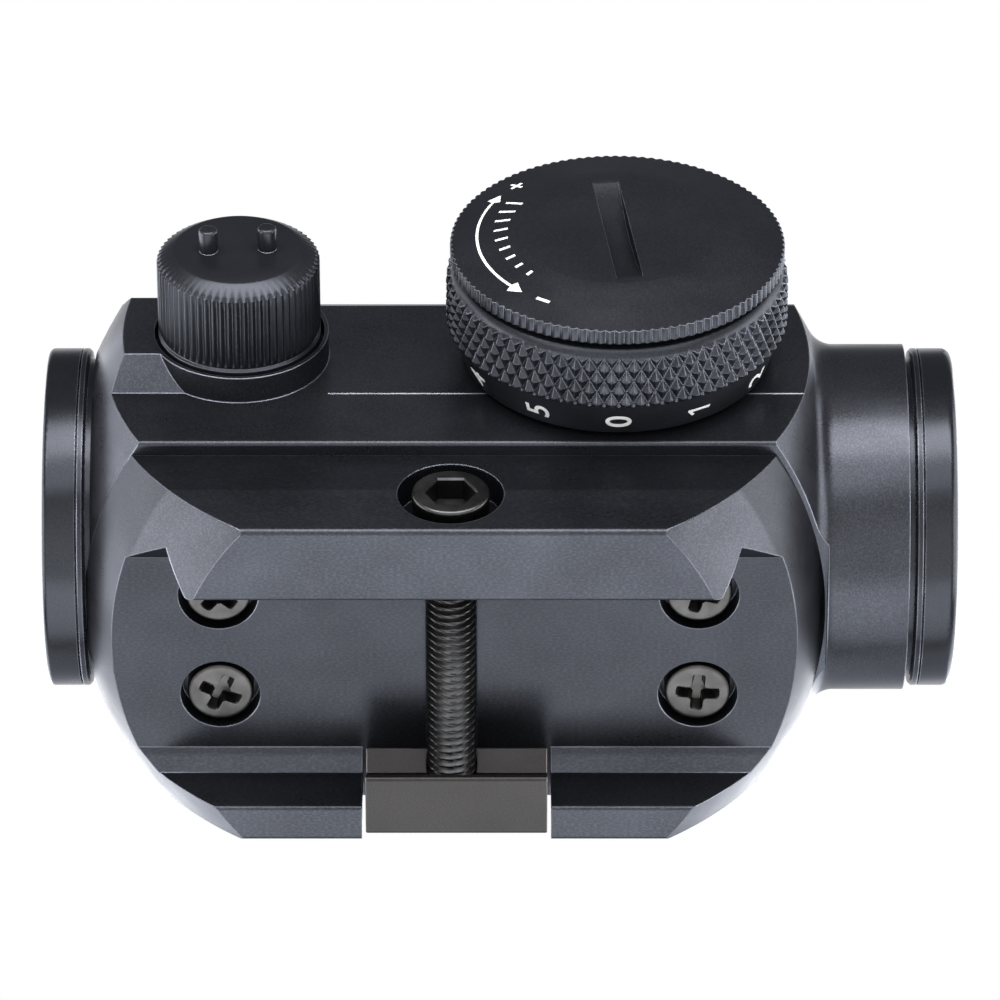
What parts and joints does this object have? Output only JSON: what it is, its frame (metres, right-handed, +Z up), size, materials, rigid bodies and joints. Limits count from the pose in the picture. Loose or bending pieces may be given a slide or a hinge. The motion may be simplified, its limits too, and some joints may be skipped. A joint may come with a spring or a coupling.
{
  "type": "red dot finder",
  "caption": "Compact tube red dot sight with knurled brightness dial, battery cover, capped adjusters and a rail base with a sliding jaw drawn in by a cross bolt.",
  "frame": {"origin": "on the rail seat (ceiling of the base groove), above the rail centre line, at mid length", "axes": "+Y along the optical axis towards the target, +X towards the brightness dial, +Z up"},
  "size_m": [0.0436, 0.0736, 0.0524],
  "materials": {
    "body_anodised": "satin black anodised aluminium",
    "base_anodised": "satin black anodised aluminium",
    "clamp_anodised": "satin black anodised aluminium",
    "ring_anodised": "semi-gloss black anodised aluminium",
    "dial_anodised": "satin black anodised aluminium",
    "cap_anodised": "satin black anodised aluminium",
    "black_steel": "black oxide steel",
    "screw_steel": "black nickel steel",
    "bare_steel": "bright steel",
    "bare_brass": "turned brass",
    "cell_steel": "nickel plated",
    "contact_gold": "gold plated contact",
    "window_glass": "polished, coated",
    "coated_glass": "polished, red reflecting coat",
    "seal_rubber": "matt",
    "matt_black": "matt black coat",
    "seat_plastic": "moulded",
    "emitter_red": "clear red",
    "board_green": "solder mask",
    "lead_red": "insulated wire"
  },
  "bodies": {
    "sight": {"housing": "body_anodised", "rail_base": "base_anodised", "base_screws": "screw_steel", "front_ring": "ring_anodised", "rear_ring": "ring_anodised", "front_window": "window_glass", "rear_window": "window_glass", "front_gasket": "seal_rubber", "rear_gasket": "seal_rubber", "led_lead": "lead_red", "return_spring": "bare_steel", "detent_ball": "bare_steel", "detent_spring": "bare_steel", "dial_pivot": "bare_steel", "wave_washer": "bare_steel", "switch_board": "board_green", "click_balls": "bare_steel", "click_springs": "bare_steel", "windage_bush": "bare_brass", "elevation_bush": "bare_brass"},
    "gimbal": {"pivot_ring": "bare_brass"},
    "carrier": {"inner_tube": "matt_black", "doublet_rear": "coated_glass", "doublet_front": "coated_glass", "lens_lock_ring": "matt_black", "led_holder": "seat_plastic", "led_board": "board_green", "led_emitter": "emitter_red"},
    "dial": {"dial_ring": "dial_anodised", "wiper_contact": "contact_gold", "battery_seat": "seat_plastic", "battery": "cell_steel", "battery_contact": "contact_gold"},
    "battery_seal": {"battery_cap_seal": "seal_rubber"},
    "battery_cover": {"battery_cap": "dial_anodised", "cap_contact": "contact_gold"},
    "windage_drum": {"windage_drum": "bare_brass"},
    "windage_pin": {"windage_pin": "bare_steel"},
    "elevation_drum": {"elevation_drum": "bare_brass"},
    "elevation_pin": {"elevation_pin": "bare_steel"},
    "windage_seal": {"windage_cap_seal": "seal_rubber"},
    "windage_cap": {"windage_cap": "cap_anodised"},
    "elevation_seal": {"elevation_cap_seal": "seal_rubber"},
    "elevation_cap": {"elevation_cap": "cap_anodised"},
    "cross_bolt": {"cross_bolt": "black_steel"},
    "clamp": {"clamp_block": "clamp_anodised"}
  },
  "joints": [
    {"name": "dial_turn", "type": "hinge", "parent": "sight", "child": "dial", "pos_m": [0.0158, 0.0094, 0.0175], "axis": [1, 0, 0], "continuous": true},
    {"name": "battery_cap_lift", "type": "slide", "parent": "dial", "child": "battery_seal", "axis": [1, 0, 0], "range_m": [0, 0.00187]},
    {"name": "battery_cap_turn", "type": "hinge", "parent": "battery_seal", "child": "battery_cover", "pos_m": [0.0252, 0.0094, 0.0175], "axis": [1, 0, 0], "range_deg": [0, 901]},
    {"name": "windage_cap_lift", "type": "slide", "parent": "sight", "child": "windage_seal", "axis": [1, 0, 0], "range_m": [0, 0.00375]},
    {"name": "windage_cap_turn", "type": "hinge", "parent": "windage_seal", "child": "windage_cap", "pos_m": [0.0165, -0.021, 0.0175], "axis": [1, 0, 0], "range_deg": [0, 1801]},
    {"name": "elevation_cap_lift", "type": "slide", "parent": "sight", "child": "elevation_seal", "axis": [0, 0, 1], "range_m": [0, 0.00375]},
    {"name": "elevation_cap_turn", "type": "hinge", "parent": "elevation_seal", "child": "elevation_cap", "pos_m": [0, -0.021, 0.035], "axis": [0, 0, 1], "range_deg": [0, 1801]},
    {"name": "windage_pin_slide", "type": "slide", "parent": "sight", "child": "windage_pin", "axis": [1, 0, 0], "range_m": [-0.00067, 0.00067]},
    {"name": "windage_turn", "type": "hinge", "parent": "sight", "child": "windage_drum", "pos_m": [0.0219, -0.021, 0.0175], "axis": [1, 0, 0], "range_deg": [-480, 480]},
    {"name": "carrier_yaw", "type": "hinge", "parent": "sight", "child": "gimbal", "pos_m": [0, 0.022, 0.0175], "axis": [0, 0, 1], "range_deg": [-0.95, 0.95]},
    {"name": "elevation_pin_slide", "type": "slide", "parent": "sight", "child": "elevation_pin", "axis": [0, 0, 1], "range_m": [-0.00067, 0.00067]},
    {"name": "elevation_turn", "type": "hinge", "parent": "sight", "child": "elevation_drum", "pos_m": [0, -0.021, 0.0402], "axis": [0, 0, 1], "range_deg": [-480, 480]},
    {"name": "carrier_tilt", "type": "hinge", "parent": "gimbal", "child": "carrier", "pos_m": [0, 0.022, 0.0175], "axis": [1, 0, 0], "range_deg": [-0.95, 0.95]},
    {"name": "clamp_slide", "type": "slide", "parent": "sight", "child": "clamp", "axis": [-1, 0, 0], "range_m": [-0.0014, 0.0018]},
    {"name": "bolt_turn", "type": "hinge", "parent": "sight", "child": "cross_bolt", "pos_m": [0, -0.0039, -0.001], "axis": [1, 0, 0], "range_deg": [-722, 930]}
  ],
  "couplings": [
    {"joint": "battery_cap_turn", "follows": "battery_cap_lift", "rad_per_m": 8377.6},
    {"joint": "windage_cap_turn", "follows": "windage_cap_lift", "rad_per_m": 8377.6},
    {"joint": "elevation_cap_turn", "follows": "elevation_cap_lift", "rad_per_m": 8377.6},
    {"joint": "windage_turn", "follows": "windage_pin_slide", "rad_per_m": -12566},
    {"joint": "carrier_yaw", "follows": "windage_pin_slide", "rad_per_m": 23.256},
    {"joint": "elevation_turn", "follows": "elevation_pin_slide", "rad_per_m": -12566},
    {"joint": "carrier_tilt", "follows": "elevation_pin_slide", "rad_per_m": -23.256},
    {"joint": "bolt_turn", "follows": "clamp_slide", "rad_per_m": 8976}
  ]
}
